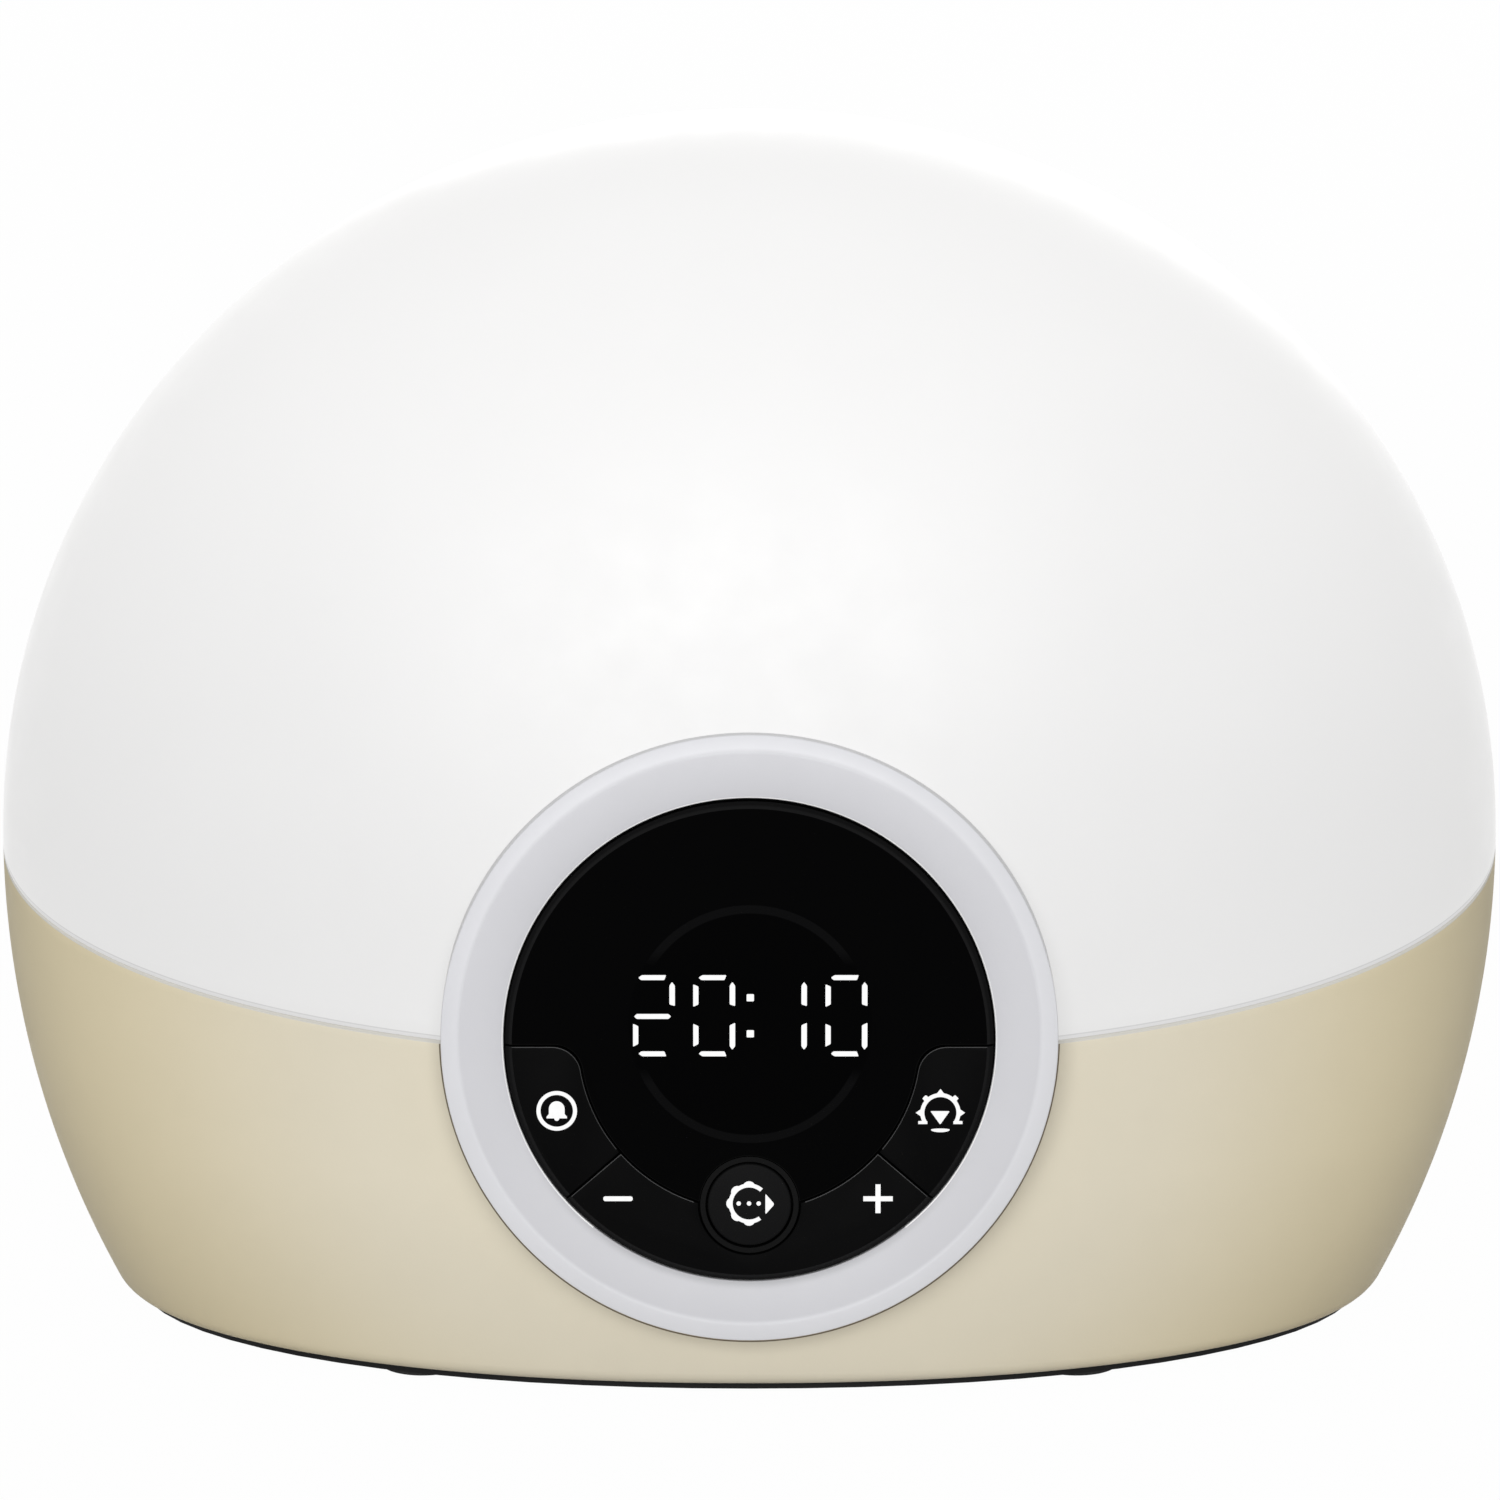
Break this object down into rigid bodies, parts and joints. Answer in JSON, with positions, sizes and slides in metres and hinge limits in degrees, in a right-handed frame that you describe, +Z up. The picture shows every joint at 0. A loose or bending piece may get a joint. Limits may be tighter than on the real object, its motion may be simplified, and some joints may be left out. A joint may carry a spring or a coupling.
{
  "type": "sunrise alarm clock",
  "caption": "Bedside light clock: opal dome over a base with a sloping seam, round front panel with display, push keys and rocker.",
  "frame": {"origin": "on the surface the clock stands on, under the middle of its footprint box", "axes": "+Z up, +X to the right as the user faces the panel, -Y towards the user"},
  "size_m": [0.215, 0.124, 0.1724],
  "materials": {
    "opal_dome": "opal, satin, lets light through",
    "base_plastic": "satin",
    "black_plastic": "matte",
    "foot_rubber": "matte",
    "screw_steel": "zinc plated",
    "ring_plastic": "satin",
    "smoked_window": "gloss",
    "key_plastic": "matte",
    "pin_steel": "ground",
    "carrier_plastic": "matte",
    "display_plastic": "matte",
    "circuit_board": "satin solder mask",
    "switch_metal": "satin",
    "plunger_plastic": "satin",
    "chip_epoxy": "matte",
    "white_plastic": "matte",
    "socket_plastic": "satin",
    "cable_jacket": "satin",
    "jack_plastic": "satin",
    "jack_brass": "plated",
    "capacitor_sleeve": "gloss",
    "choke_copper": "enamelled wire",
    "sounder_plastic": "matte",
    "lead_jacket": "satin",
    "led_white_board": "white solder mask",
    "led_phosphor": "satin",
    "sink_aluminium": "as extruded"
  },
  "bodies": {
    "root": {"diffuser_dome": "opal_dome", "base_shell": "base_plastic", "bottom_plate": "black_plastic", "rubber_feet": "foot_rubber", "bottom_screws": "screw_steel", "bezel_ring": "ring_plastic", "display_window": "smoked_window", "rocker_pin": "pin_steel", "key_carrier": "carrier_plastic", "clock_display": "display_plastic", "control_board": "circuit_board", "switch_housings": "switch_metal", "controller_chip": "chip_epoxy", "panel_screws": "screw_steel", "panel_cover": "white_plastic", "bezel_screws": "screw_steel", "ribbon_sockets": "socket_plastic", "ribbon_cable": "cable_jacket", "main_board": "circuit_board", "board_screws": "screw_steel", "dc_jack": "jack_plastic", "jack_pin": "jack_brass", "filter_capacitors": "capacitor_sleeve", "choke_coil": "choke_copper", "driver_chip": "chip_epoxy", "sounder": "sounder_plastic", "led_lead_sockets": "socket_plastic", "led_lead": "lead_jacket", "reflector_tray": "white_plastic", "tray_screws": "screw_steel", "led_board": "led_white_board", "leds": "led_phosphor", "heat_sink": "sink_aluminium", "heat_sink_screws": "screw_steel"},
    "alarm_key": {"alarm_key": "key_plastic", "alarm_plunger": "plunger_plastic"},
    "sunset_key": {"sunset_key": "key_plastic", "sunset_plunger": "plunger_plastic"},
    "centre_key": {"centre_key": "key_plastic", "centre_plunger": "plunger_plastic"},
    "rocker": {"rocker_key": "key_plastic", "rocker_plungers": "plunger_plastic"}
  },
  "joints": [
    {"name": "alarm_key_press", "type": "slide", "parent": "root", "child": "alarm_key", "axis": [0, 0.9981, -0.061], "range_m": [0, 0.0004], "stiffness_N_per_m": 500, "springref_m": -0.002},
    {"name": "sunset_key_press", "type": "slide", "parent": "root", "child": "sunset_key", "axis": [0, 0.9981, -0.061], "range_m": [0, 0.0004], "stiffness_N_per_m": 500, "springref_m": -0.002},
    {"name": "centre_key_press", "type": "slide", "parent": "root", "child": "centre_key", "axis": [0, 0.9981, -0.061], "range_m": [0, 0.0004], "stiffness_N_per_m": 500, "springref_m": -0.002},
    {"name": "rocker_tilt", "type": "hinge", "parent": "root", "child": "rocker", "pos_m": [0, -0.05502, 0.05299], "axis": [0, 0.061, 0.9981], "range_deg": [-1.1, 1.1], "stiffness_Nm_per_rad": 1.6}
  ]
}
